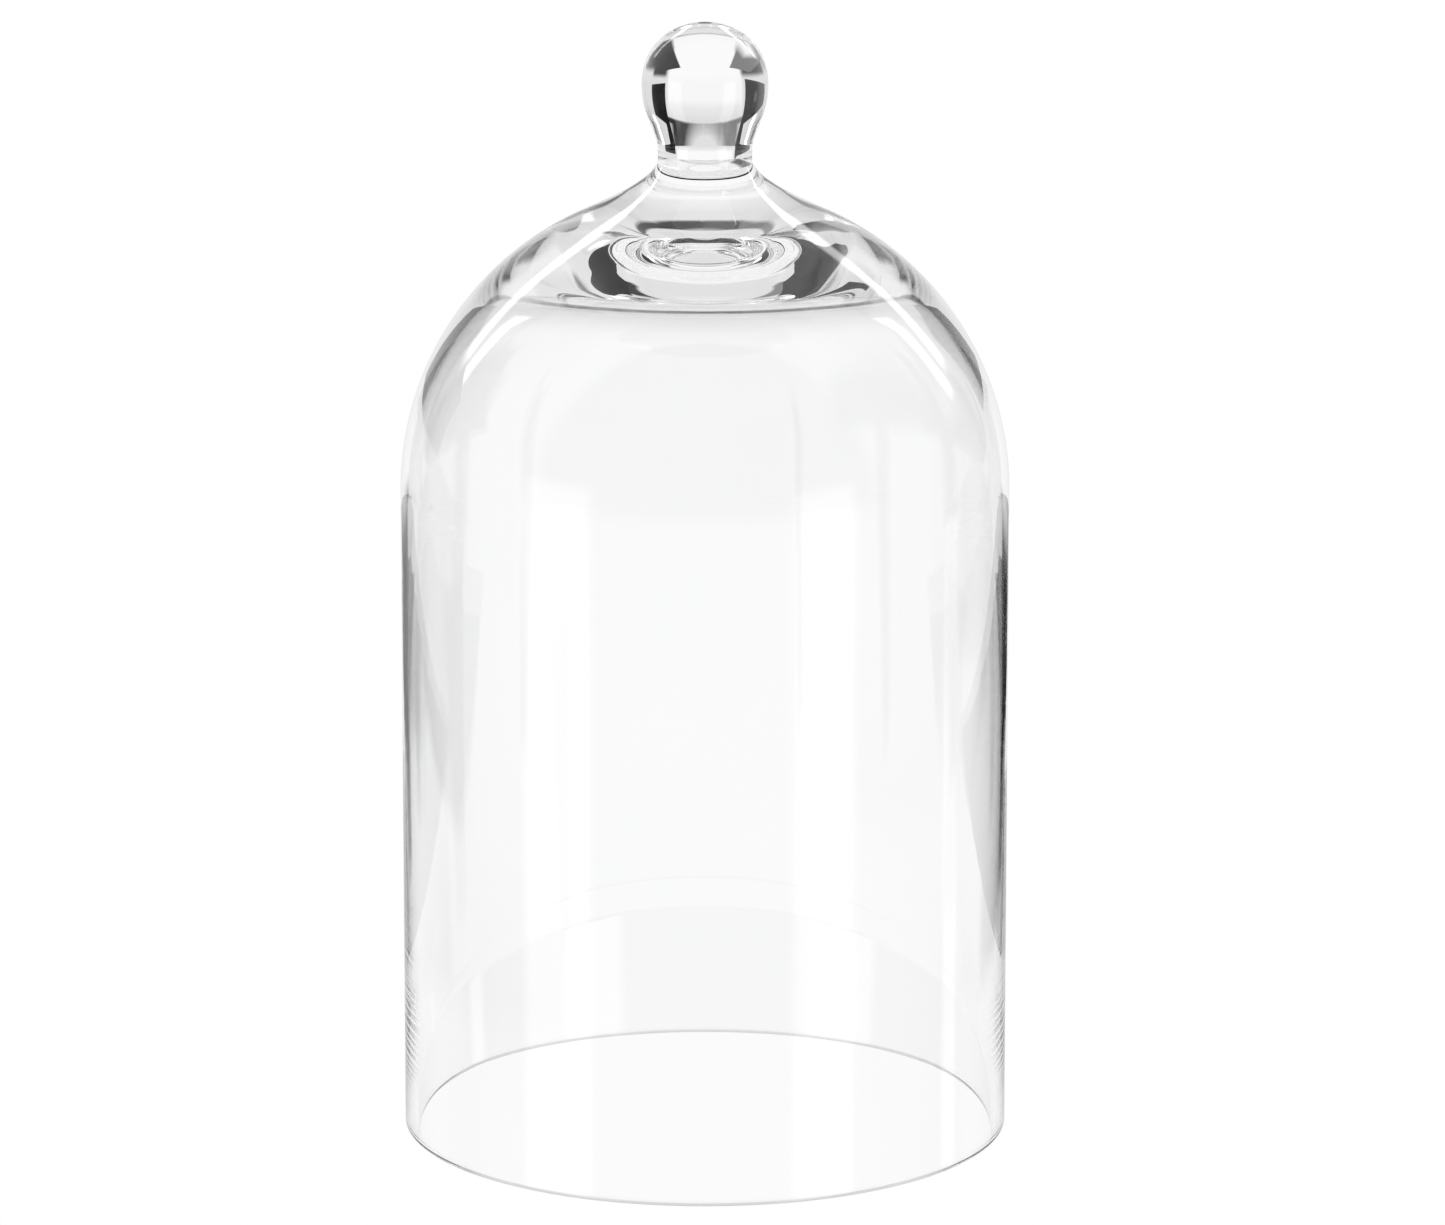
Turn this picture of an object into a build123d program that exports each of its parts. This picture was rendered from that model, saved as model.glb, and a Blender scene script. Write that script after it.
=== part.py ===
from build123d import *
from math import atan, atan2, cos, degrees, radians, sin, sqrt
import os

# A clear glass bell jar dome: a blown bell that stands on its rim, and a solid glass knob fused onto its crown.
# The origin is the centre of the circle that the rim stands on, +Z is up, and sizes are in millimetres.
# Every outline is drawn with its radius along X and its height along Y, then turned about the axis.

# Bell, outside
BODY_RADIUS = 80.0          # straight side of the bell
WALL_HEIGHT = 172.5         # rim to the level where the dome starts
DOME_SWEEP = 64.0           # degrees of the round dome before it runs straight up to the collar
FLARE_RADIUS = 72.0         # long hollow curve that lifts the crown towards the collar
FLARE_TURN = 10.0
COLLAR_FILLET = 14.0        # tighter hollow curve of the collar
COLLAR_TURN = 26.0
SEAM_RADIUS = 12.3          # disc where bell and knob are fused

# Bell, wall and inside
RIM_WALL = 3.3              # the wall is heaviest at the rim,
MIDDLE_WALL = 1.6           # thinnest half way up, where the glass stretched most,
SHOULDER_WALL = 2.6         # and heavier again where the dome starts
RIM_ROUND = 1.1             # fire-polished edges each side of the flat that the bell stands on
INNER_RISE = 2.0            # the inner shoulder starts this much above the outer one
SHOULDER_GATHER = 7.4       # how far the inner shoulder is tightened, which thickens the glass upwards
SHOULDER_SLOPE = 43.0       # how far the inner shoulder has turned from the vertical where the roof corner starts
ROOF_CORNER_RADIUS = 40.0   # tighter curve from the inner shoulder into the nearly flat roof
ROOF_CORNER_TURN = 24.0
ROOF_FLAT_RADIUS = 12.5     # flat middle of the roof under the solid crown

# Knob
BALL_RADIUS = 16.5
NECK_LENGTH = 3.4           # straight neck above the seam
NECK_FILLET = 9.6           # hollow curve from the neck into the tapered underside
TAPER_LENGTH = 6.7          # straight part of the underside
UNDERSIDE_RADIUS = 22.0     # round from the underside to the widest place
SIDE_RADIUS = 19.0          # the ball is a little fuller than a sphere above its widest place
SIDE_SWEEP = 20.0
BROW_RADIUS = 14.0
BROW_SWEEP = 35.0


def going(angle):
    """Unit direction at an angle in degrees from the outward radius, turning upwards."""
    return (cos(radians(angle)), sin(radians(angle)))


def left_turn(before, radius, angle):
    """An arc that carries on from the last edge and bends anticlockwise in the outline."""
    return JernArc(start=before @ 1, tangent=before % 1, radius=radius, arc_size=angle)


def right_turn(before, radius, angle):
    """An arc that carries on from the last edge and bends clockwise in the outline."""
    return JernArc(start=before @ 1, tangent=before % 1, radius=radius, arc_size=-angle)


def straight(before, length):
    """A line that carries on from the last edge."""
    return Line(before @ 1, before @ 1 + (before % 1) * length)


def turned(edges):
    """The solid of revolution about Z of a closed outline."""
    return revolve(Plane.XZ * make_face(edges), axis=Axis.Z)


def outer_skin():
    """The bell's outside, from the foot of its wall to the seam disc's edge."""
    wall = Line((BODY_RADIUS, RIM_ROUND), (BODY_RADIUS, WALL_HEIGHT))
    dome = left_turn(wall, BODY_RADIUS, DOME_SWEEP)
    slope = 90.0 - DOME_SWEEP
    flare_end = slope + FLARE_TURN
    collar_end = flare_end + COLLAR_TURN
    flare_width = FLARE_RADIUS * (sin(radians(flare_end)) - sin(radians(slope)))
    collar_width = COLLAR_FILLET * (sin(radians(collar_end)) - sin(radians(flare_end)))
    run_width = BODY_RADIUS * cos(radians(DOME_SWEEP)) - SEAM_RADIUS - flare_width - collar_width
    run = straight(dome, run_width / cos(radians(slope)))
    flare = right_turn(run, FLARE_RADIUS, FLARE_TURN)
    collar = right_turn(flare, COLLAR_FILLET, COLLAR_TURN)
    return [wall, dome, run, flare, collar]


def inner_skin():
    """The bell's inside, from the foot of its wall to the middle of the roof."""
    foot = (BODY_RADIUS - RIM_WALL, RIM_ROUND)
    middle = (BODY_RADIUS - MIDDLE_WALL, WALL_HEIGHT / 2)
    spring = (BODY_RADIUS - SHOULDER_WALL, WALL_HEIGHT + INNER_RISE)
    wall = ThreePointArc(foot, middle, spring)
    shoulder_radius = BODY_RADIUS - SHOULDER_WALL - SHOULDER_GATHER
    wall_lean = degrees(atan2(-(wall % 1).X, (wall % 1).Y))
    shoulder = left_turn(wall, shoulder_radius, SHOULDER_SLOPE - wall_lean)
    corner = left_turn(shoulder, ROOF_CORNER_RADIUS, ROOF_CORNER_TURN)
    roof_turn = 90.0 - SHOULDER_SLOPE - ROOF_CORNER_TURN
    roof_radius = ((corner @ 1).X - ROOF_FLAT_RADIUS) / sin(radians(roof_turn))
    roof = left_turn(corner, roof_radius, roof_turn)
    flat = Line(roof @ 1, (0, (roof @ 1).Y))
    return [wall, shoulder, corner, roof, flat]


def bell(outside, inside):
    """The blown bell: both skins, closed by the rim below and by the seam disc above."""
    outer_round = JernArc(start=outside[0] @ 0, tangent=going(-90), radius=RIM_ROUND, arc_size=-90)
    inner_foot = inside[0] @ 0
    inner_round = JernArc(start=(inner_foot.X + RIM_ROUND, 0), tangent=going(180), radius=RIM_ROUND, arc_size=-90)
    land = Line(outer_round @ 1, inner_round @ 0)
    seam_edge = outside[-1] @ 1
    roof_middle = inside[-1] @ 1
    seam = Line(seam_edge, (0, seam_edge.Y))
    axis = Line((0, seam_edge.Y), roof_middle)
    return turned([*outside, seam, axis, *inside, inner_round, land, outer_round])


def knob(seam_height):
    """The solid knob: its neck starts at the seam disc, and its outline widens to the ball and closes on top."""
    # The taper's angle follows from how far the ball stands out past the neck.
    overhang = BALL_RADIUS - SEAM_RADIUS
    bends = NECK_FILLET + UNDERSIDE_RADIUS
    reach = 2 * bends - overhang
    taper = 2 * degrees(atan((sqrt(TAPER_LENGTH**2 + reach * overhang) - TAPER_LENGTH) / reach))
    base = Line((0, seam_height), (SEAM_RADIUS, seam_height))
    neck = Line(base @ 1, (SEAM_RADIUS, seam_height + NECK_LENGTH))
    hollow = right_turn(neck, NECK_FILLET, taper)
    underside = straight(hollow, TAPER_LENGTH)
    belly = left_turn(underside, UNDERSIDE_RADIUS, taper)
    side = left_turn(belly, SIDE_RADIUS, SIDE_SWEEP)
    brow = left_turn(side, BROW_RADIUS, BROW_SWEEP)
    cap_turn = 90.0 - SIDE_SWEEP - BROW_SWEEP
    cap = left_turn(brow, (brow @ 1).X / sin(radians(cap_turn)), cap_turn)
    axis = Line((0, (cap @ 1).Y), base @ 0)
    return turned([base, neck, hollow, underside, belly, side, brow, cap, axis])


outside = outer_skin()
inside = inner_skin()
seam_height = (outside[-1] @ 1).Y

os.makedirs("parts", exist_ok=True)
export_step(bell(outside, inside), "parts/bell.step")
export_step(knob(seam_height), "parts/knob.step")
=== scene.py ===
import math

import bmesh
import bpy
from mathutils import Matrix, Vector


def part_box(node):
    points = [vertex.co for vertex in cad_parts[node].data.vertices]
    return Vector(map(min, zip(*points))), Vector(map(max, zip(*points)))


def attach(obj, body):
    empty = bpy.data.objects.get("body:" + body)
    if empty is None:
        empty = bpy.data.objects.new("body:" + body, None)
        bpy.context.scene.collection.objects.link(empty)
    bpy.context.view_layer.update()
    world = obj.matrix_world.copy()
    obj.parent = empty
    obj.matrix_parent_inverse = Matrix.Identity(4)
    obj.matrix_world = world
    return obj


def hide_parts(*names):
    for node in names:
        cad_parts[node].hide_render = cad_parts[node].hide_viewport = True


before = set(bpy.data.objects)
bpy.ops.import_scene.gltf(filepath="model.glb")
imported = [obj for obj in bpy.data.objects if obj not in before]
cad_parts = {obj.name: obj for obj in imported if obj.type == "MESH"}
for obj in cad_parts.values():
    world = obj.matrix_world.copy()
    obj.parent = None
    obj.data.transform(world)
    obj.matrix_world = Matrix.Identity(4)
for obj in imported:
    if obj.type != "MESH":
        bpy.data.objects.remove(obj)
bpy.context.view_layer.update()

MM = 0.001

# ---------------------------------------------------------------------------------------------
# Blown bell.
# The bell is one shell of clear soda-lime glass, blown in a turned mould: a straight wall, a round
# dome and a hollow-curved collar. It is thickest in the crown and at the rim, which is fire-polished.

bell_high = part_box("bell")[1]
body_radius = bell_high.x
seam_height = bell_high.z
wall_height = 172.5 * MM        # rim to the level where the dome starts
dome_sweep = 64.0               # degrees of the round dome before it runs straight up to the collar
flare_radius = 72.0 * MM        # long hollow curve that lifts the crown towards the collar
flare_turn = 10.0
collar_fillet = 14.0 * MM       # tighter hollow curve of the collar
collar_turn = 26.0
seam_radius = 12.3 * MM         # disc where the bell and the knob are fused
rim_wall = 3.3 * MM             # the wall is heaviest at the rim,
middle_wall = 1.6 * MM          # thinnest half way up,
shoulder_wall = 2.6 * MM        # and heavier again where the dome starts
rim_round = 1.1 * MM            # fire-polished edges each side of the flat that it stands on
inner_rise = 2.0 * MM           # the inner shoulder starts this much above the outer one
shoulder_gather = 7.4 * MM      # how far the inner shoulder is tightened, which thickens the glass upwards
shoulder_radius = body_radius - shoulder_wall - shoulder_gather
shoulder_slope = 43.0           # how far the inner shoulder turns from the vertical
roof_corner_radius = 40.0 * MM  # tighter curve from the inner shoulder into the nearly flat roof
roof_corner_turn = 24.0
roof_flat_radius = 12.5 * MM    # flat middle of the roof under the solid crown

LATHE_STEPS = 256               # facets round the axis
DEGREES_PER_STEP = 1.0          # how finely an arc of an outline is divided
FEWEST_ARC_STEPS = 6
WELD_DISTANCE = 0.0005 * MM     # points closer than this are one point
SEAM_LEVEL_ERROR = 0.01 * MM    # how far from the seam's level a face of the seam may be


class Outline:
    """Half a section, drawn in the XZ plane like a lathe template, each run from the end of the last."""

    def __init__(self, radius, height, heading):
        self.mesh = bmesh.new()
        self.tip = bmesh.ops.create_vert(self.mesh, co=(radius, 0, height))["vert"][0]
        self.heading = heading  # degrees from straight outwards, turning upwards

    def line(self, length):
        """A straight run along the heading."""
        self.tip = bmesh.ops.extrude_vert_indiv(self.mesh, verts=[self.tip])["verts"][0]
        step = Vector((math.cos(math.radians(self.heading)), 0, math.sin(math.radians(self.heading))))
        bmesh.ops.translate(self.mesh, verts=[self.tip], vec=step * length)

    def arc(self, radius, turn):
        """A tangent arc: a positive turn bends it to the left, a negative one to the right."""
        side = math.radians(self.heading + math.copysign(90, turn))
        centre = self.tip.co + Vector((math.cos(side), 0, math.sin(side))) * radius
        steps = max(FEWEST_ARC_STEPS, math.ceil(abs(turn) / DEGREES_PER_STEP))
        drawn = bmesh.ops.spin(
            self.mesh, geom=[self.tip], cent=centre, axis=(0, -1, 0), angle=math.radians(turn), steps=steps
        )
        self.tip = [part for part in drawn["geom_last"] if isinstance(part, bmesh.types.BMVert)][0]
        self.heading += turn

    def to_axis(self):
        """A level run that ends exactly on the axis."""
        self.tip = bmesh.ops.extrude_vert_indiv(self.mesh, verts=[self.tip])["verts"][0]
        self.tip.co.x = 0


def turned(outline, name, materials):
    """The closed piece that an outline sweeps about the axis. Faces in the seam take the last material."""
    mesh = outline.mesh
    bmesh.ops.spin(
        mesh, geom=mesh.verts[:] + mesh.edges[:], cent=(0, 0, 0), axis=(0, 0, 1),
        angle=math.tau, steps=LATHE_STEPS, use_merge=True,
    )
    bmesh.ops.remove_doubles(mesh, verts=mesh.verts, dist=WELD_DISTANCE)
    bmesh.ops.recalc_face_normals(mesh, faces=mesh.faces)
    for face in mesh.faces:
        in_seam = all(abs(corner.co.z - seam_height) < SEAM_LEVEL_ERROR for corner in face.verts)
        face.smooth = not in_seam
        face.material_index = len(materials) - 1 if in_seam else 0
    for edge in mesh.edges:
        edge.smooth = len({face.smooth for face in edge.link_faces}) == 1
    made = bpy.data.meshes.new(name)
    mesh.to_mesh(made)
    mesh.free()
    for material in materials:
        made.materials.append(material)
    piece = bpy.data.objects.new(name, made)
    bpy.context.collection.objects.link(piece)
    return piece


RING_STRETCH = (0.06, 0.06, 1.0)  # squeezes noise into level rings
RIPPLE_DETAIL = 1.0
RING_DETAIL = 1.5
SMEARS_PER_METRE = 38.0
SMEAR_DETAIL = 4.0
SMEAR_SWIRL = 1.2
SMEAR_STARTS = 0.55             # noise level where a smear begins,
SMEAR_FULL = 0.75               # and where it is strongest


def worked_glass():
    """Node group: the faint marks of hot working and wiping, as tint, roughness and height."""
    group = bpy.data.node_groups.new("worked_glass", "ShaderNodeTree")
    for name, kind in (
        ("Ripples per Metre", "NodeSocketFloat"),
        ("Turning Rings per Metre", "NodeSocketFloat"),
        ("Ring Share", "NodeSocketFloat"),
        ("Smear Roughness", "NodeSocketFloat"),
        ("Thin Tint", "NodeSocketColor"),
        ("Thick Tint", "NodeSocketColor"),
    ):
        group.interface.new_socket(name, in_out="INPUT", socket_type=kind)
    for name, kind in (
        ("Tint", "NodeSocketColor"), ("Roughness", "NodeSocketFloat"), ("Height", "NodeSocketFloat"),
    ):
        group.interface.new_socket(name, in_out="OUTPUT", socket_type=kind)
    nodes, links = group.nodes, group.links
    given, result = nodes.new("NodeGroupInput"), nodes.new("NodeGroupOutput")
    place = nodes.new("ShaderNodeTexCoord")

    # Slow ripples all over, from the gather's uneven heat.
    ripple = nodes.new("ShaderNodeTexNoise")
    ripple.inputs["Detail"].default_value = RIPPLE_DETAIL
    links.new(place.outputs["Object"], ripple.inputs["Vector"])
    links.new(given.outputs["Ripples per Metre"], ripple.inputs["Scale"])

    # Level rings, from turning in the mould: noise squeezed along the axis.
    squeeze = nodes.new("ShaderNodeMapping")
    squeeze.inputs["Scale"].default_value = RING_STRETCH
    rings = nodes.new("ShaderNodeTexNoise")
    rings.inputs["Detail"].default_value = RING_DETAIL
    links.new(place.outputs["Object"], squeeze.inputs["Vector"])
    links.new(squeeze.outputs["Vector"], rings.inputs["Vector"])
    links.new(given.outputs["Turning Rings per Metre"], rings.inputs["Scale"])

    height = nodes.new("ShaderNodeMix")
    links.new(given.outputs["Ring Share"], height.inputs["Factor"])
    links.new(ripple.outputs["Fac"], height.inputs["A"])
    links.new(rings.outputs["Fac"], height.inputs["B"])
    links.new(height.outputs["Result"], result.inputs["Height"])

    # Wiping smears: soft patches that are a little less polished.
    smear = nodes.new("ShaderNodeTexNoise")
    smear.inputs["Scale"].default_value = SMEARS_PER_METRE
    smear.inputs["Detail"].default_value = SMEAR_DETAIL
    smear.inputs["Distortion"].default_value = SMEAR_SWIRL
    links.new(place.outputs["Object"], smear.inputs["Vector"])
    patches = nodes.new("ShaderNodeMapRange")
    patches.inputs["From Min"].default_value = SMEAR_STARTS
    patches.inputs["From Max"].default_value = SMEAR_FULL
    links.new(smear.outputs["Fac"], patches.inputs["Value"])
    links.new(given.outputs["Smear Roughness"], patches.inputs["To Max"])
    links.new(patches.outputs["Result"], result.inputs["Roughness"])

    # The glass's own faint tint drifts with its ripples.
    tint = nodes.new("ShaderNodeMix")
    tint.data_type = "RGBA"
    colour_a, colour_b = [s for s in tint.inputs if s.type == "RGBA"]
    tinted = [s for s in tint.outputs if s.type == "RGBA"][0]
    links.new(ripple.outputs["Fac"], tint.inputs["Factor"])
    links.new(given.outputs["Thin Tint"], colour_a)
    links.new(given.outputs["Thick Tint"], colour_b)
    links.new(tinted, result.inputs["Tint"])
    return group


def clear_glass(name, marks, ripple_depth):
    """Clear glass with its working marks: the group's inputs, and the height of a ripple."""
    material = bpy.data.materials.new(name)
    material.use_nodes = True
    nodes, links = material.node_tree.nodes, material.node_tree.links
    shader = nodes["Principled BSDF"]
    shader.inputs["Transmission Weight"].default_value = 1.0
    shader.inputs["IOR"].default_value = glass_index
    worked = nodes.new("ShaderNodeGroup")
    worked.node_tree = glass_marks
    for socket, value in marks.items():
        worked.inputs[socket].default_value = value
    ripples = nodes.new("ShaderNodeBump")
    ripples.inputs["Distance"].default_value = ripple_depth
    links.new(worked.outputs["Height"], ripples.inputs["Height"])
    links.new(worked.outputs["Tint"], shader.inputs["Base Color"])
    links.new(worked.outputs["Roughness"], shader.inputs["Roughness"])
    links.new(ripples.outputs["Normal"], shader.inputs["Normal"])
    return material


def fused_glass():
    """Inside of the joint: both pieces are one melt there, so light goes straight through."""
    material = bpy.data.materials.new("fused_seam")
    material.use_nodes = True
    nodes, links = material.node_tree.nodes, material.node_tree.links
    nodes.remove(nodes["Principled BSDF"])
    melt = nodes.new("ShaderNodeBsdfTransparent")
    links.new(melt.outputs["BSDF"], nodes["Material Output"].inputs["Surface"])
    return material


glass_index = 1.5
glass_marks = worked_glass()
fused_seam = fused_glass()
bell_glass = clear_glass(
    "bell_glass",
    {
        "Ripples per Metre": 22.0,
        "Turning Rings per Metre": 90.0,
        "Ring Share": 0.35,
        "Smear Roughness": 0.012,
        "Thin Tint": (1.0, 1.0, 1.0, 1),
        "Thick Tint": (0.985, 0.99, 0.988, 1),
    },
    ripple_depth=0.06 * MM,
)

# The outline goes from the seam disc down the outside, round the rim and up the inside to the roof.
slope = 90.0 - dome_sweep
flare_end = slope + flare_turn
collar_end = flare_end + collar_turn
flare_width = flare_radius * (math.sin(math.radians(flare_end)) - math.sin(math.radians(slope)))
collar_width = collar_fillet * (math.sin(math.radians(collar_end)) - math.sin(math.radians(flare_end)))
dome_top_radius = body_radius * math.cos(math.radians(dome_sweep))
run_width = dome_top_radius - seam_radius - flare_width - collar_width
bell_outline = Outline(0, seam_height, heading=0)
bell_outline.line(seam_radius)
bell_outline.heading = -collar_end
bell_outline.arc(collar_fillet, collar_turn)
bell_outline.arc(flare_radius, flare_turn)
bell_outline.line(run_width / math.cos(math.radians(slope)))
bell_outline.arc(body_radius, -dome_sweep)
bell_outline.line(wall_height - rim_round)
bell_outline.arc(rim_round, -90)
bell_outline.line(rim_wall - 2 * rim_round)
bell_outline.arc(rim_round, -90)

# The inside of the wall bows outwards a little, so it is one very flat arc.
wall_rise = wall_height + inner_rise - rim_round
wall_inset = shoulder_wall - rim_wall
wall_chord = math.hypot(wall_rise, wall_inset)
wall_bow = (rim_wall + shoulder_wall) / 2 - middle_wall
wall_bend = wall_chord**2 / (8 * wall_bow) + wall_bow / 2
wall_turn = 2 * math.degrees(math.asin(wall_chord / (2 * wall_bend)))
bell_outline.heading = math.degrees(math.atan2(wall_rise, -wall_inset)) - wall_turn / 2
bell_outline.arc(wall_bend, wall_turn)
bell_outline.arc(shoulder_radius, 90 + shoulder_slope - bell_outline.heading)
bell_outline.arc(roof_corner_radius, roof_corner_turn)
roof_turn = 180 - bell_outline.heading
roof_radius = (bell_outline.tip.co.x - roof_flat_radius) / math.sin(math.radians(roof_turn))
bell_outline.arc(roof_radius, roof_turn)
bell_outline.to_axis()

bell = turned(bell_outline, "blown_bell", [bell_glass, fused_seam])
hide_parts("bell")
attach(bell, "root")

# ---------------------------------------------------------------------------------------------
# Knob.
# The knob is a solid ball of the same glass on a short neck, gathered, rounded with a wet block and
# fused hot onto the crown, so the only sign of the joint is the crease at the foot of the neck.

ball_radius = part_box("knob")[1].x
neck_length = 3.4 * MM          # straight neck above the seam
neck_fillet = 9.6 * MM          # hollow curve from the neck into the tapered underside
taper_length = 6.7 * MM         # straight part of the underside
underside_radius = 22.0 * MM
side_radius = 19.0 * MM         # the ball is a little fuller than a sphere above its widest place
side_sweep = 20.0
brow_radius = 14.0 * MM
brow_sweep = 35.0

knob_glass = clear_glass(
    "knob_glass",
    {
        "Ripples per Metre": 60.0,
        "Turning Rings per Metre": 160.0,
        "Ring Share": 0.2,
        "Smear Roughness": 0.01,
        "Thin Tint": (1.0, 1.0, 1.0, 1),
        "Thick Tint": (0.98, 0.985, 0.983, 1),
    },
    ripple_depth=0.03 * MM,
)

# The taper's angle follows from how far the ball stands out past the neck.
overhang = ball_radius - seam_radius
reach = 2 * (neck_fillet + underside_radius) - overhang
taper_rise = math.sqrt(taper_length**2 + reach * overhang) - taper_length
taper = 2 * math.degrees(math.atan(taper_rise / reach))
knob_outline = Outline(0, seam_height, heading=0)
knob_outline.line(seam_radius)
knob_outline.heading = 90
knob_outline.line(neck_length)
knob_outline.arc(neck_fillet, -taper)
knob_outline.line(taper_length)
knob_outline.arc(underside_radius, taper)
knob_outline.arc(side_radius, side_sweep)
knob_outline.arc(brow_radius, brow_sweep)
cap_turn = 180 - knob_outline.heading
knob_outline.arc(knob_outline.tip.co.x / math.sin(math.radians(cap_turn)), cap_turn)
knob_outline.tip.co.x = 0

knob = turned(knob_outline, "glass_knob", [knob_glass, fused_seam])
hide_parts("knob")
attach(knob, "root")

# ---------------------------------------------------------------------------------------------
# Floor.
# A plain white sheet, evenly lit. The glass sees the papers and cards of the next section in its
# place, as it would on a studio table whose edge is out of the picture.

FLOOR_HALF = 6.0
FLOOR_DROP = 0.5 * MM           # just under the rim, so that the two don't share a level
FULL_WHITE = 1.0


def flat_piece(name, corners, material, drop=0.0, soft_edge=0.0):
    """One flat face of the stage through the given corners. It fades away towards a soft edge."""
    mesh = bmesh.new()
    cover = mesh.verts.layers.float.new("cover")
    middle = mesh.faces.new([bmesh.ops.create_vert(mesh, co=corner)["vert"][0] for corner in corners])
    bmesh.ops.translate(mesh, verts=mesh.verts, vec=(0, 0, -drop))
    if soft_edge:
        mesh.normal_update()
        bmesh.ops.inset_region(
            mesh, faces=[middle], thickness=soft_edge, use_boundary=True, use_even_offset=True
        )
    for corner in middle.verts:
        corner[cover] = 1.0     # the rest of the face's points keep 0
    made = bpy.data.meshes.new(name)
    mesh.to_mesh(made)
    mesh.free()
    made.materials.append(material)
    piece = bpy.data.objects.new(name, made)
    bpy.context.collection.objects.link(piece)
    return piece


def glow(name, strength):
    """Evenly lit paper or card. It sends out strength times white, and is clear where its cover is 0."""
    material = bpy.data.materials.new(name)
    material.use_nodes = True
    nodes, links = material.node_tree.nodes, material.node_tree.links
    nodes.remove(nodes["Principled BSDF"])
    light = nodes.new("ShaderNodeEmission")
    light.inputs["Strength"].default_value = strength
    cover = nodes.new("ShaderNodeAttribute")
    cover.attribute_name = "cover"
    nothing = nodes.new("ShaderNodeBsdfTransparent")
    fade = nodes.new("ShaderNodeMixShader")
    links.new(cover.outputs["Fac"], fade.inputs["Fac"])
    links.new(nothing.outputs["BSDF"], fade.inputs[1])
    links.new(light.outputs["Emission"], fade.inputs[2])
    links.new(fade.outputs["Shader"], nodes["Material Output"].inputs["Surface"])
    return material


floor_corners = [(x * FLOOR_HALF, y * FLOOR_HALF, 0) for x, y in ((-1, -1), (1, -1), (1, 1), (-1, 1))]
floor = flat_piece("floor", floor_corners, glow("white_floor", FULL_WHITE), drop=FLOOR_DROP)
floor.visible_transmission = False
floor.visible_glossy = False
floor.visible_diffuse = False
floor.visible_shadow = False

# ---------------------------------------------------------------------------------------------
# Papers and cards round the glass.
# Clear glass shows only what stands round it. Bright papers lie on the table under and behind the bell.
# Dark cards stand round it like spokes, so the one straight behind is edge-on and the others darken
# only the glass's edges. Higher up, more dark cards hang behind the dome.


def seen_through_glass_only(piece):
    """Shows a stage piece only to light that has come through the glass."""
    piece.visible_camera = False
    piece.visible_glossy = False
    piece.visible_diffuse = False
    piece.visible_shadow = False


def paper_strip(near_half, far_half, length, turned_by=0.0):
    """Corners of a paper that starts under the bell, runs straight back from it and widens on the way."""
    turn = Matrix.Rotation(math.radians(turned_by), 3, "Z")
    flat = ((-near_half, 0), (near_half, 0), (far_half, length), (-far_half, length))
    return [turn @ Vector((x, y, 0)) for x, y in flat]


NEAR_PAPER_RADIUS = 215 * MM
NEAR_PAPER_SIDES = 36
near_paper_corners = [
    Matrix.Rotation(math.tau * side / NEAR_PAPER_SIDES, 3, "Z") @ Vector((NEAR_PAPER_RADIUS, 0, 0))
    for side in range(NEAR_PAPER_SIDES)
]
# Each paper: its corners, how many floor drops it lies down, and how far its edges fade.
papers = {
    "near_paper": (near_paper_corners, 1.0, 50 * MM),
    "back_paper": (paper_strip(165 * MM, 230 * MM, 830 * MM), 1.5, 30 * MM),
    "side_paper": (paper_strip(130 * MM, 150 * MM, 540 * MM, turned_by=45.0), 2.0, 100 * MM),
}
lit_paper = glow("lit_paper", FULL_WHITE)
for name, (corners, drops, soft_edge) in papers.items():
    seen_through_glass_only(flat_piece(name, corners, lit_paper, drops * FLOOR_DROP, soft_edge))

# Bare dark table beyond the back paper's edges. The glass also mirrors it in its steepest edges.
TABLE_DROP = 3 * FLOOR_DROP
TABLE_HALF = 520 * MM
TABLE_FRONT = 150 * MM
TABLE_BACK = 740 * MM
table_outline = [
    (142 * MM, TABLE_FRONT),
    (187 * MM, 390 * MM),
    (214 * MM, TABLE_BACK),
    (TABLE_HALF, TABLE_BACK),
    (TABLE_HALF, TABLE_FRONT),
]
# Each half: its side, and how bright it is.
tables = {"left_table": (-1, 0.2), "right_table": (1, 0.02)}
for name, (side, strength) in tables.items():
    corners = [(side * x, y, 0) for x, y in table_outline]
    table = flat_piece(name, corners, glow(name, strength), drop=TABLE_DROP)
    seen_through_glass_only(table)
    table.visible_glossy = True

# Each spoke card: its direction from straight behind the bell, its top, and its colour.
SPOKE_OUTER = 245 * MM          # how far the card reaches out from the axis
SPOKE_FOOT = 180 * MM           # inner end of its foot, clear of the bell's own foot
SPOKE_TOP_INNER = 138 * MM      # inner end of its top, which leans in over the foot
SPOKE_FOOT_HEIGHT = 20 * MM     # its lower edge falls from here
SPOKE_OUTER_HEIGHT = 8 * MM     # to here
SPOKE_SOFT_EDGE = 14 * MM
dark_card = glow("dark_card", 0.02)
grey_card = glow("grey_card", 0.2)
spokes = {
    "left_spoke": (-45, 150 * MM, grey_card),
    "right_spoke": (45, 142 * MM, dark_card),
    "back_spoke": (0, 140 * MM, grey_card),
    "far_left_spoke": (-90, 140 * MM, grey_card),
    "far_right_spoke": (90, 140 * MM, grey_card),
    "front_left_spoke": (-135, 140 * MM, grey_card),
    "front_spoke": (180, 140 * MM, grey_card),
}
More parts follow.
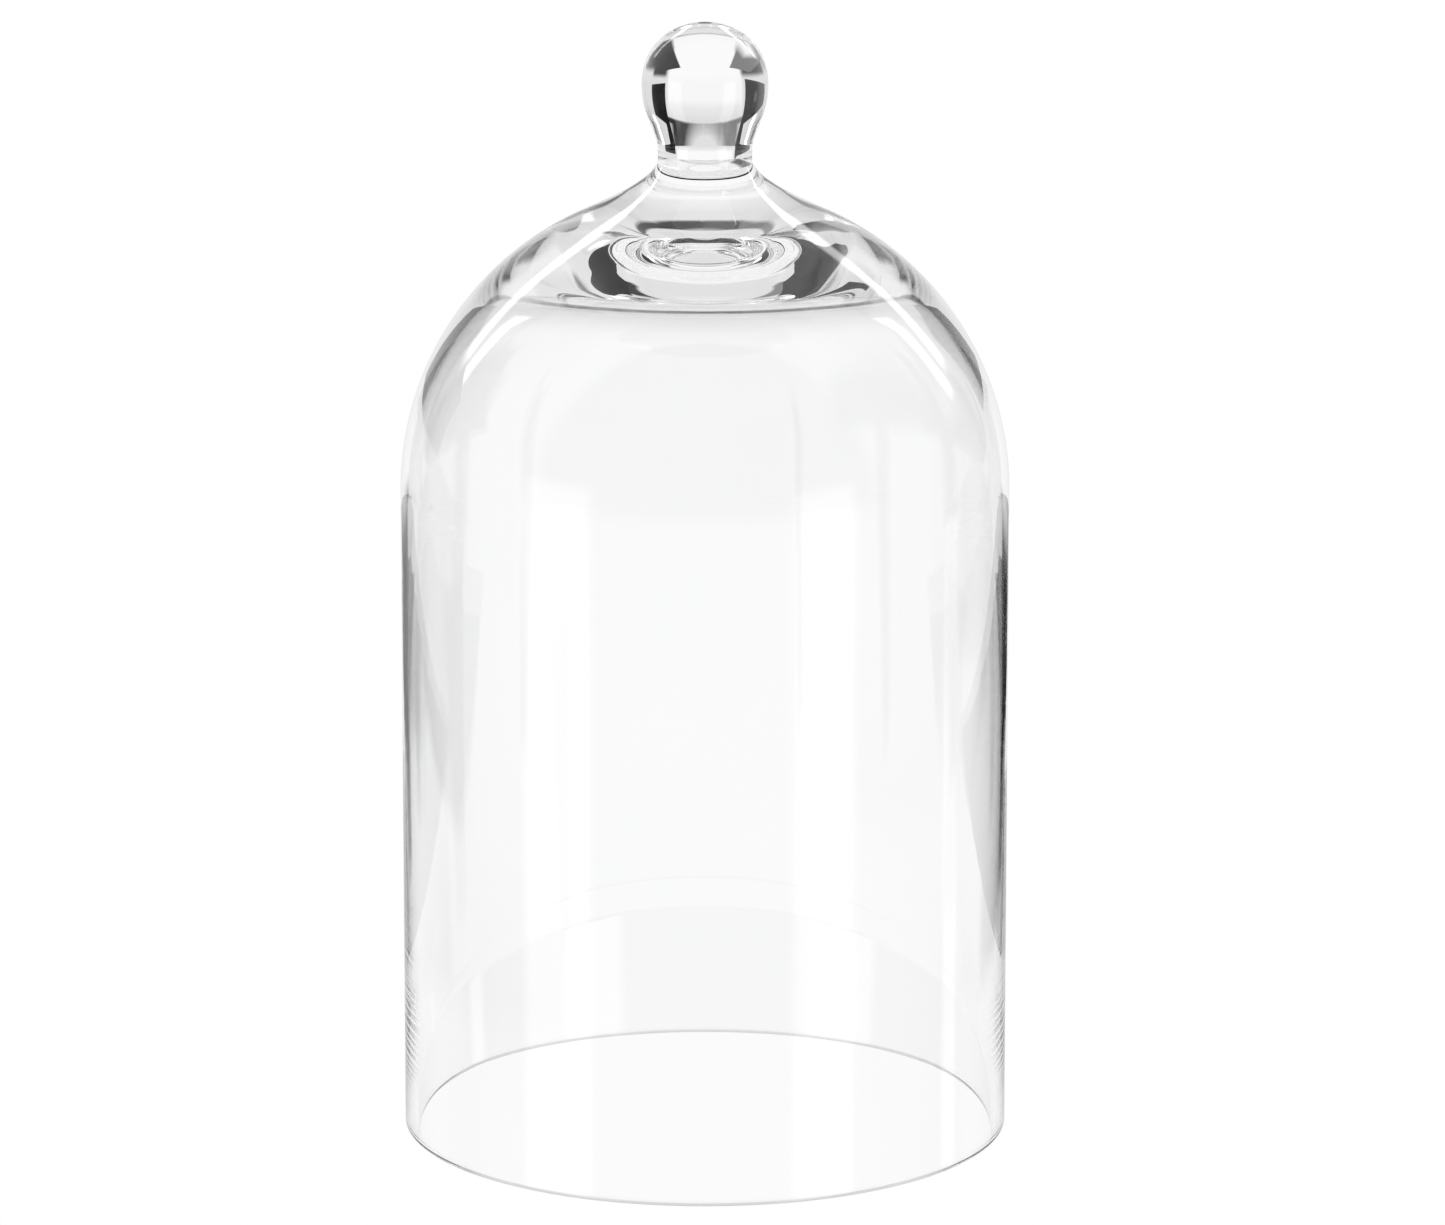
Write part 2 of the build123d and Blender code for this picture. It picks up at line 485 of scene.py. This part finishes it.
for name, (direction, top, card) in spokes.items():
    outward = Vector((math.sin(math.radians(direction)), math.cos(math.radians(direction)), 0))
    upward = Vector((0, 0, 1))
    corners = [
        outward * SPOKE_FOOT + upward * SPOKE_FOOT_HEIGHT,
        outward * SPOKE_OUTER + upward * SPOKE_OUTER_HEIGHT,
        outward * SPOKE_OUTER + upward * top,
        outward * SPOKE_TOP_INNER + upward * top,
    ]
    seen_through_glass_only(flat_piece(name, corners, card, soft_edge=SPOKE_SOFT_EDGE))


def hang(cards, back, soft_edge=0.0):
    """Hangs upright cards across the back, each given by its two sides, its two levels and its strength."""
    for name, (one_side, other_side, low, high, strength) in cards.items():
        outline = ((one_side, low), (other_side, low), (other_side, high), (one_side, high))
        corners = [(x * MM, back, z * MM) for x, z in outline]
        seen_through_glass_only(flat_piece(name, corners, glow(name, strength), soft_edge=soft_edge))


# Grey cards hang behind the dome on the left and a black one on the right. Rails with soft edges
# cross the gap between them, over the top of the bright backdrop.
hung_cards = {
    "left_hung_card": (-153, -290, 200, 370, 0.06),
    "far_left_hung_card": (-290, -540, 200, 370, 0.09),
    "right_hung_card": (150, 290, 215, 370, 0.006),
}
top_rails = {
    "left_top_rail": (-170, 6, 326, 360, 0.25),
    "right_top_rail": (-60, 170, 326, 360, 0.03),
}
hang(hung_cards, back=300 * MM)
hang(top_rails, back=302 * MM, soft_edge=9 * MM)

# ---------------------------------------------------------------------------------------------
# Studio round the table.
# Beyond the papers the glass sees the studio itself: a lit backdrop, dark flags beside it, pale side
# walls and the dark upper room behind the camera. Its surface also mirrors soft boxes and two lit hoops.

HALF_TURN = 180.0
HOOP_LIT = 0.25                 # from the middle of a hoop's band, this share of its width is fully lit,
HOOP_FADED = 0.75               # and here its light has died away
HOOP_FEET = (-4.0, 2.0)         # a hoop fades out over these degrees, up from its centre
HOOP_INNER = (-2.0, 3.0)        # and its inner half over these, outwards from its centre


class Studio:
    """Light from every direction, painted patch over patch, in degrees from straight behind and up."""

    def __init__(self, nodes, links, base):
        self.nodes = nodes
        self.links = links
        self.light = base

    def compute(self, operation, *values):
        node = self.nodes.new("ShaderNodeMath")
        node.operation = operation
        for socket, value in zip(node.inputs, values):
            if isinstance(value, (int, float)):
                socket.default_value = value
            else:
                self.links.new(value, socket)
        return node.outputs[0]

    def ease(self, value, start, end):
        """0 before start and 1 past end, with a soft step between."""
        node = self.nodes.new("ShaderNodeMapRange")
        node.interpolation_type = "SMOOTHSTEP"
        node.inputs["From Min"].default_value = start
        node.inputs["From Max"].default_value = end
        self.links.new(value, node.inputs["Value"])
        return node.outputs["Result"]

    def look(self, towards):
        """Splits a direction into its level angle and its height angle, in degrees."""
        parts = self.nodes.new("ShaderNodeSeparateXYZ")
        self.links.new(towards, parts.inputs[0])
        round_about = self.compute("ARCTAN2", parts.outputs["X"], parts.outputs["Y"])
        upwards = self.compute("ARCSINE", parts.outputs["Z"])
        self.azimuth = self.compute("DEGREES", round_about)
        self.elevation = self.compute("DEGREES", upwards)

    def aside(self, azimuth):
        """How far a direction is to one side of azimuth, the short way round."""
        return self.compute("WRAP", self.compute("SUBTRACT", self.azimuth, azimuth), HALF_TURN, -HALF_TURN)

    def paint(self, mask, strength):
        """Covers the light so far with an even one where mask is 1."""
        mix = self.nodes.new("ShaderNodeMix")
        self.links.new(mask, mix.inputs["Factor"])
        if isinstance(self.light, (int, float)):
            mix.inputs["A"].default_value = self.light
        else:
            self.links.new(self.light, mix.inputs["A"])
        mix.inputs["B"].default_value = strength
        self.light = mix.outputs["Result"]

    def hoop(self, azimuth, elevation, radius, width, strength, outer_only):
        """Paints the upper half of a lit hoop, or only its outer quarter."""
        up = self.compute("SUBTRACT", self.elevation, elevation)
        out = self.compute("SQRT", self.compute(
            "ADD", self.compute("POWER", self.aside(azimuth), 2), self.compute("POWER", up, 2)
        ))
        off = self.compute("ABSOLUTE", self.compute("SUBTRACT", out, radius))
        band = self.compute("SUBTRACT", 1.0, self.ease(off, width * HOOP_LIT, width * HOOP_FADED))
        mask = self.compute("MULTIPLY", band, self.ease(up, *HOOP_FEET))
        if outer_only:
            outwards = self.compute("MULTIPLY", self.aside(azimuth), math.copysign(1, azimuth))
            mask = self.compute("MULTIPLY", mask, self.ease(outwards, *HOOP_INNER))
        self.paint(mask, strength)

    def patch(self, azimuth, half_width, low, high, blur, strength):
        """Paints one patch of even light with soft edges."""
        aside = self.compute("ABSOLUTE", self.aside(azimuth))
        soft = blur / 2
        across = self.compute("SUBTRACT", 1.0, self.ease(aside, half_width - soft, half_width + soft))
        above = self.ease(self.elevation, low - soft, low + soft)
        below = self.compute("SUBTRACT", 1.0, self.ease(self.elevation, high - soft, high + soft))
        self.paint(self.compute("MULTIPLY", across, self.compute("MULTIPLY", above, below)), strength)


# What the glass lets through. Each patch: azimuth, half width, lowest, highest, blur, strength.
UNPAINTED_BEYOND = 0.8
seen_through = {
    "sides_and_front": (180, 108, -95, 95, 14, 0.98),
    "dark_room": (180, 70, 2, 95, 12, 0.06),
    "backdrop": (0, 26, -95, 95, 3, 1.0),
    "backdrop_upper": (0, 26, 0, 95, 8, 0.86),
    "backdrop_high": (0, 26, 7, 95, 8, 0.78),
    "left_table_edge": (-95, 28, -48, -18, 12, 0.12),
    "left_low_flag": (-45, 19, -46, -15.5, 5, 0.07),
    "right_low_drape": (58, 18, -34, -19, 6, 0.04),
    "right_table_edge": (52, 10, -50, -28, 6, 0.06),
    "right_low_flag": (37, 9, -38, -15, 4, 0.012),
}
# What its surface mirrors, in the same order.
UNPAINTED_MIRRORED = 0.25
seen_mirrored = {
    "dark_table": (0, 190, -95, -24, 8, 0.12),
    "dim_ceiling": (0, 190, 14, 95, 16, 0.2),
    "pale_walls": (0, 66, -22, 6, 24, 0.8),
    "left_soft_box": (-122, 14, -60, 8, 6, 1.7),
    "right_soft_box": (134, 12, -60, 8, 6, 1.7),
    "small_soft_box": (73, 4, -18, -10, 4, 1.5),
}
# Each hoop: azimuth and height of its centre, radius, width of its band, strength.
hoops = {
    "left_hoop": (-28, 16, 19.5, 5, 4.0),
    "right_hoop": (30, 17, 21, 5, 4.0),
}

studio = bpy.data.worlds.new("studio")
bpy.context.scene.world = studio
studio.use_nodes = True
studio_nodes, studio_links = studio.node_tree.nodes, studio.node_tree.links
studio_nodes.clear()
direction = studio_nodes.new("ShaderNodeTexCoord").outputs["Generated"]
through = Studio(studio_nodes, studio_links, base=UNPAINTED_BEYOND)
through.look(direction)
for patch in seen_through.values():
    through.patch(*patch)
mirrored = Studio(studio_nodes, studio_links, base=UNPAINTED_MIRRORED)
mirrored.look(direction)
for patch in seen_mirrored.values():
    mirrored.patch(*patch)
for hoop in hoops.values():
    through.hoop(*hoop, outer_only=True)
    mirrored.hoop(*hoop, outer_only=False)
path = studio_nodes.new("ShaderNodeLightPath")
inside_out = studio_nodes.new("ShaderNodeMix")
studio_links.new(path.outputs["Is Transmission Ray"], inside_out.inputs["Factor"])
studio_links.new(mirrored.light, inside_out.inputs["A"])
studio_links.new(through.light, inside_out.inputs["B"])
plain_white = studio_nodes.new("ShaderNodeMix")
studio_links.new(path.outputs["Is Camera Ray"], plain_white.inputs["Factor"])
studio_links.new(inside_out.outputs["Result"], plain_white.inputs["A"])
plain_white.inputs["B"].default_value = FULL_WHITE
background = studio_nodes.new("ShaderNodeBackground")
background.inputs["Color"].default_value = (1, 1, 1, 1)
studio_links.new(plain_white.outputs["Result"], background.inputs["Strength"])
world_out = studio_nodes.new("ShaderNodeOutputWorld")
studio_links.new(background.outputs["Background"], world_out.inputs["Surface"])

# ---------------------------------------------------------------------------------------------
# Camera and film.
# A long lens from a little above the dome, with the film shifted only to frame the bell.

CAMERA_BACK = 2.2
CAMERA_HEIGHT = 0.664
CAMERA_TILT = 13.1              # degrees below level
FILM_WIDTH = 36.0               # film and lens are in millimetres, as Blender takes them
LENS_LENGTH = 213.608
SHIFT_RIGHT = 0.01211           # of the film's width
SHIFT_UP = -0.03356
MOST_BOUNCES = 64               # light is caught for long in the solid knob and crown
lens = bpy.data.cameras.new("camera")
lens.sensor_width = FILM_WIDTH
lens.lens = LENS_LENGTH
lens.shift_x = SHIFT_RIGHT
lens.shift_y = SHIFT_UP
camera = bpy.data.objects.new("camera", lens)
camera.location = (0, -CAMERA_BACK, CAMERA_HEIGHT)
camera.rotation_euler = (math.radians(90 - CAMERA_TILT), 0, 0)
bpy.context.collection.objects.link(camera)
scene = bpy.context.scene
scene.camera = camera
scene.view_settings.view_transform = "Standard"
scene.cycles.max_bounces = MOST_BOUNCES
scene.cycles.transmission_bounces = MOST_BOUNCES
scene.cycles.glossy_bounces = MOST_BOUNCES
scene.cycles.transparent_max_bounces = MOST_BOUNCES
